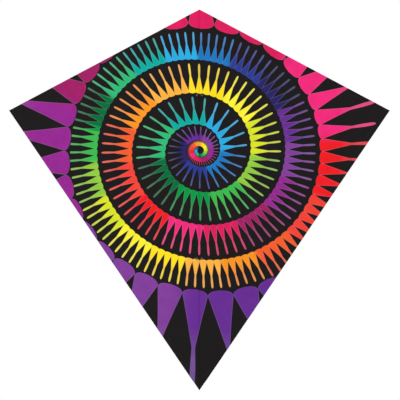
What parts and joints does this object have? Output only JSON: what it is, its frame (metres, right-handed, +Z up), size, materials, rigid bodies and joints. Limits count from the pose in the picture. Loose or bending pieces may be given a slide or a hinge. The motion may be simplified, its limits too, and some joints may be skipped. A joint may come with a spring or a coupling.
{
  "type": "diamond kite",
  "caption": "Flat diamond kite: printed polyester sail on a jointed fibreglass spine and spreader, with folding wings, bridle eyelets and a tail ring.",
  "frame": {"origin": "where the spine and the spreaders cross, on the front face of the sail", "axes": "+Z up to the nose, +X to the right seen from in front, +Y from the front of the sail to the back"},
  "size_m": [0.762, 0.046, 0.762],
  "materials": {
    "sail": "printed woven polyester, satin",
    "webbing": "black woven polyester webbing",
    "patch": "black coated polyester patch",
    "fastener": "black hook and loop tape",
    "spar": "black pultruded fibreglass",
    "vinyl": "soft black vinyl",
    "ferrule": "drawn aluminium tube",
    "eyelet": "black lacquered brass",
    "ring": "nickel plated steel wire"
  },
  "bodies": {
    "kite_spine": {"spine_upper_rod": "spar", "spine_lower_rod": "spar", "spine_ferrule": "ferrule", "nose_end_cap": "vinyl", "tail_end_cap": "vinyl", "centre_connector": "vinyl", "stop_ring_upper": "vinyl", "stop_ring_lower": "vinyl", "sail_centre": "sail", "nose_pocket": "webbing", "tail_channel": "webbing", "spine_loop_upper": "webbing", "spine_loop_lower": "webbing", "bridle_patch_upper": "patch", "bridle_patch_lower": "patch", "bridle_eyelets_upper": "eyelet", "bridle_eyelets_lower": "eyelet", "strap_loop_patch": "fastener", "strap_base": "webbing", "tail_tab": "webbing"},
    "left_wing": {"left_sail": "sail", "left_upper_hem": "sail", "left_lower_hem": "sail", "left_tip_pocket": "webbing", "left_spreader_rod": "spar", "left_tip_cap": "vinyl", "left_connector_arm": "vinyl"},
    "right_wing": {"right_sail": "sail", "right_upper_hem": "sail", "right_lower_hem": "sail", "right_tip_pocket": "webbing", "right_spreader_rod": "spar", "right_tip_cap": "vinyl", "right_connector_arm": "vinyl"},
    "tail_strap": {"strap_flap": "fastener"},
    "tail_ring": {"tail_ring": "ring"}
  },
  "joints": [
    {"name": "left_wing_fold", "type": "hinge", "parent": "kite_spine", "child": "left_wing", "pos_m": [-0.01, 0.0048, 0], "axis": [0, 0, -1], "range_deg": [-6, 80], "stiffness_Nm_per_rad": 0.04},
    {"name": "right_wing_fold", "type": "hinge", "parent": "kite_spine", "child": "right_wing", "pos_m": [0.01, 0.0048, 0], "axis": [0, 0, 1], "range_deg": [-6, 80], "stiffness_Nm_per_rad": 0.04},
    {"name": "tail_strap_open", "type": "hinge", "parent": "kite_spine", "child": "tail_strap", "pos_m": [0, 0.0096, -0.5509], "axis": [-1, 0, 0], "range_deg": [0, 150]},
    {"name": "tail_ring_swing", "type": "hinge", "parent": "kite_spine", "child": "tail_ring", "pos_m": [0, 0.0092, -0.511], "axis": [1, 0, 0], "range_deg": [-3, 150]}
  ]
}
